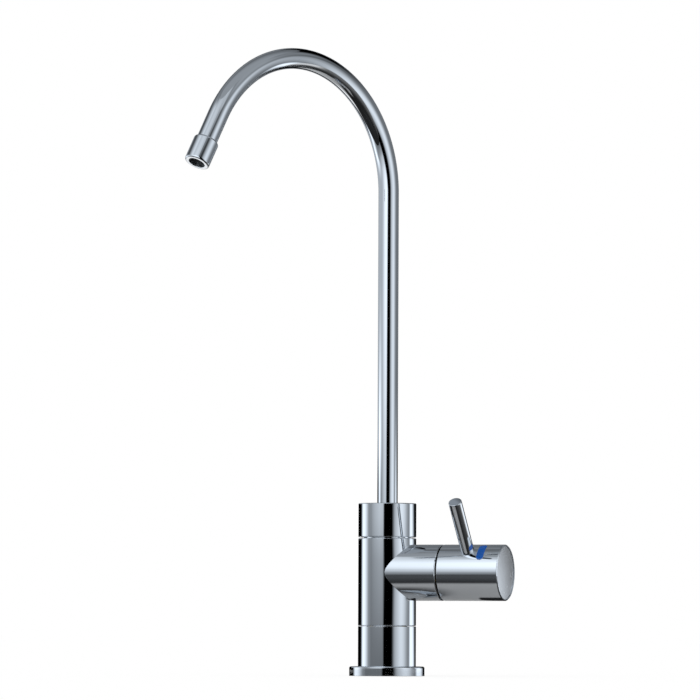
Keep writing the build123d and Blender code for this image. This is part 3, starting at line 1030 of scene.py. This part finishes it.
def endNodeTree(tree, skin, finish):
    skin = tree.add("GeometryNodeSetShadeSmooth", {}, {"Geometry": skin})
    skin = tree.add("GeometryNodeRealizeInstances", {}, {"Geometry": skin})
    skin = tree.add("GeometryNodeSetMaterial", {}, {"Geometry": skin, "Material": finish})
    tree.add("NodeGroupOutput", {}, {"Geometry": skin})
    return tree.nodeTree


def makeSpoutTree():
    names = ["Start", "Rise", "Bend Radius", "Bend Angle", "Tail", "Heading", "Tube Radius"]
    tree = newNodeTree("spoutSweep", {"Float": names, "Int": ["Rows", "Sides"], "Material": ["Finish"]})
    given = tree.add("NodeGroupInput")
    start, rise, bendRadius, bendAngle, tail, heading, tubeRadius = [given.out(name) for name in names]
    whole = rise + bendRadius * bendAngle + tail
    end = tree.add("ShaderNodeCombineXYZ", {}, {"Z": whole})
    line = tree.add("GeometryNodeCurvePrimitiveLine", {}, {"Start": (0, 0, 0), "End": end})
    line = tree.add("GeometryNodeResampleCurve", {}, {"Curve": line, "Count": given.out("Rows")})
    along = tree.add("GeometryNodeSplineParameter").out("Length")
    turn = ((along - rise) / bendRadius).larger(0.0).smaller(bendAngle)
    past = (along - rise - bendRadius * bendAngle).larger(0.0)
    reach = bendRadius * (1 - turn.cosine()) + past * turn.sine()
    height = start + along.smaller(rise) + bendRadius * turn.sine() + past * turn.cosine()
    place = tree.add("ShaderNodeCombineXYZ", {}, [reach * heading.cosine(), reach * heading.sine(), height])
    path = tree.add("GeometryNodeSetPosition", {}, {"Geometry": line, "Position": place})
    ring = {"Resolution": given.out("Sides"), "Radius": tubeRadius}
    circle = tree.add("GeometryNodeCurvePrimitiveCircle", {}, ring)
    skin = tree.add("GeometryNodeCurveToMesh", {}, {"Curve": path, "Profile Curve": circle})
    return endNodeTree(tree, skin, given.out("Finish"))


def growNodes(name, nodeTree, base, values):
    grown = linkObject(name, base)
    modifier = grown.modifiers.new("nodes", "NODES")
    modifier.node_group = nodeTree
    for item in nodeTree.interface.items_tree:
        if item.item_type == "SOCKET" and item.in_out == "INPUT" and item.name in values:
            modifier[item.identifier] = values[item.name]
    return grown


def settle(piece):
    depsgraph = bpy.context.evaluated_depsgraph_get()
    mesh = bpy.data.meshes.new_from_object(piece.evaluated_get(depsgraph), depsgraph=depsgraph)
    piece.modifiers.clear()
    mesh.name = piece.name
    piece.data = mesh


def makeSpoutTube():
    sizes = spoutSizes
    values = {
        "Start": sizes["start"] * mm,
        "Rise": (sizes["straightTop"] - sizes["start"]) * mm,
        "Bend Radius": sizes["bendRadius"] * mm,
        "Bend Angle": radians(sizes["bendAngle"]),
        "Tail": (sizes["tail"] - sizes["insertDepth"]) * mm,
        "Heading": radians(sizes["heading"]),
        "Tube Radius": sizes["tubeRadius"] * mm,
        "Rows": sizes["rows"],
        "Sides": sizes["sides"],
        "Finish": finishes["chrome_plate"],
    }
    tube = growNodes("spoutTube", makeSpoutTree(), bpy.data.meshes.new("spoutTube"), values)
    wall = tube.modifiers.new("wall", "SOLIDIFY")
    wall.thickness = sizes["tubeWall"] * mm
    wall.offset = -1.0
    wall.use_even_offset = True
    settle(tube)
    tube.data.set_sharp_from_angle(angle=radians(sizes["sharpAngle"]))
    fitPiece(tube, "spout", "spout_tube")


def tailEnd():
    sizes = spoutSizes
    bend = radians(sizes["bendAngle"])
    heading = radians(sizes["heading"])
    reach = sizes["bendRadius"] * (1 - cos(bend)) + sizes["tail"] * sin(bend)
    height = sizes["straightTop"] + sizes["bendRadius"] * sin(bend) + sizes["tail"] * cos(bend)
    backUp = Vector((-sin(bend) * cos(heading), -sin(bend) * sin(heading), -cos(bend)))
    across = Vector((-sin(heading), cos(heading), 0))
    return axesPlace(Vector((reach * cos(heading), reach * sin(heading), height)), across, backUp)


def makeNozzle():
    sizes = spoutSizes
    corners = [
        (sizes["lipRadius"], 0.0, sizes["lipEdge"]),
        (sizes["nozzleRadius"], 0.0, sizes["nozzleRim"]),
        (sizes["nozzleRadius"], sizes["nozzleLength"], sizes["nozzleShoulder"]),
        (sizes["nozzleBore"], sizes["nozzleLength"]),
        (sizes["nozzleBore"], sizes["lip"]),
        (sizes["lipRadius"], sizes["lip"]),
    ]
    shell = turned(corners, tailEnd(), closed=True)
    placeShell("spoutNozzle", shell, "spout", "chrome_plate", "spout_nozzle")


makeSpoutTube()
makeNozzle()
print("spout swept")


# Foot: the sleeve under the valve body, with an open seam over it, and the threaded shank below the deck

footSizes = {
    "sleeveRadius": 15.0,
    "sleeveWall": 1.8,
    "sleeveEdge": 0.20,
    "seam": 0.18,
    "shankRadius": 10.48,
    "shankBore": 6.5,
    "shankChamfer": 1.0,
    "reliefLow": -33.0,
    "reliefHigh": -31.0,
    "reliefDepth": 0.9,
    "threadHigh": -3.0,
    "threadPitch": 1.814,
    "threadDepth": 0.86,
    "threadFlank": 1.3,
    "threadFade": 1.6,
    "threadSkin": 0.02,
    "threadRow": 0.14,
    "sharpAngle": 50.0,
}

upPlace = Matrix.Identity(4)


def makeSleeve():
    sizes = footSizes
    low, high = heightSpan("base_sleeve")
    inner = sizes["sleeveRadius"] - sizes["sleeveWall"]
    corners = [
        (inner, low),
        (sizes["sleeveRadius"], low, sizes["sleeveEdge"] / 2),
        (sizes["sleeveRadius"], high - sizes["seam"], sizes["sleeveEdge"]),
        (inner, high - sizes["seam"]),
    ]
    shell = turned(corners, upPlace, closed=True)
    placeShell("footSleeve", shell, "valve", "chrome_plate", "base_sleeve")


def wallRows(radius, low, high):
    count = round((high - low) / footSizes["threadRow"])
    return [(radius, low + (high - low) * index / count) for index in range(count + 1)]


def shankOutline(low, high):
    sizes = footSizes
    radius = sizes["shankRadius"]
    relief = radius - sizes["reliefDepth"]
    corners = [(sizes["shankBore"], low), (radius - sizes["shankChamfer"], low)]
    corners += wallRows(radius, low + sizes["shankChamfer"], sizes["reliefLow"])
    corners += [(relief, sizes["reliefLow"]), (relief, sizes["reliefHigh"])]
    corners += wallRows(radius, sizes["reliefHigh"], sizes["threadHigh"])
    corners += [(radius, high), (sizes["shankBore"], high)]
    return corners


def makeThreadTree():
    names = ["Radius", "Pitch", "Depth", "Flank", "Low", "High", "Fade", "Skin"]
    tree = newNodeTree("threadCut", {"Geometry": ["Geometry"], "Float": names, "Material": ["Finish"]})
    given = tree.add("NodeGroupInput")
    radius, pitch, depth, flank, low, high, fade, skin = [given.out(name) for name in names]
    across, back, height = parted(tree, tree.add("GeometryNodeInputPosition"))
    reach = tree.add("ShaderNodeMath", {"operation": "SQRT"}, [across * across + back * back])
    angle = tree.add("ShaderNodeMath", {"operation": "ARCTAN2"}, [back, across])
    turns = height / pitch - angle / (2 * pi)
    wave = (tree.add("ShaderNodeMath", {"operation": "FRACT"}, [turns]) * 2 - 1).size()
    groove = ((wave - 0.5) * flank + 0.5).larger(0.0).smaller(1.0)
    rise = ramp(tree, height, low, low + fade)
    end = 1 - ramp(tree, height, high - fade, high)
    outside = tree.add("ShaderNodeMath", {"operation": "GREATER_THAN"}, [reach, radius - skin])
    cut = groove * rise * end * outside * depth / reach
    step = tree.add("ShaderNodeCombineXYZ", {}, [-1 * across * cut, -1 * back * cut, 0.0])
    threaded = tree.add("GeometryNodeSetPosition", {}, {"Geometry": given.out("Geometry"), "Offset": step})
    return endNodeTree(tree, threaded, given.out("Finish"))


def makeShank():
    sizes = footSizes
    low, high = heightSpan("mounting_shank")
    shell = turned(shankOutline(low, high), upPlace, closed=True)
    base = shellMesh("shankThread", shell, finishes["raw_brass"], keepNormals=False)
    values = {
        "Radius": sizes["shankRadius"] * mm,
        "Pitch": sizes["threadPitch"] * mm,
        "Depth": sizes["threadDepth"] * mm,
        "Flank": sizes["threadFlank"],
        "Low": low * mm,
        "High": sizes["threadHigh"] * mm,
        "Fade": sizes["threadFade"] * mm,
        "Skin": sizes["threadSkin"] * mm,
        "Finish": finishes["raw_brass"],
    }
    shank = growNodes("shankThread", makeThreadTree(), base, values)
    settle(shank)
    shank.data.set_sharp_from_angle(angle=radians(sizes["sharpAngle"]))
    fitPiece(shank, "valve", "mounting_shank")


makeSleeve()
makeShank()
print("foot made")
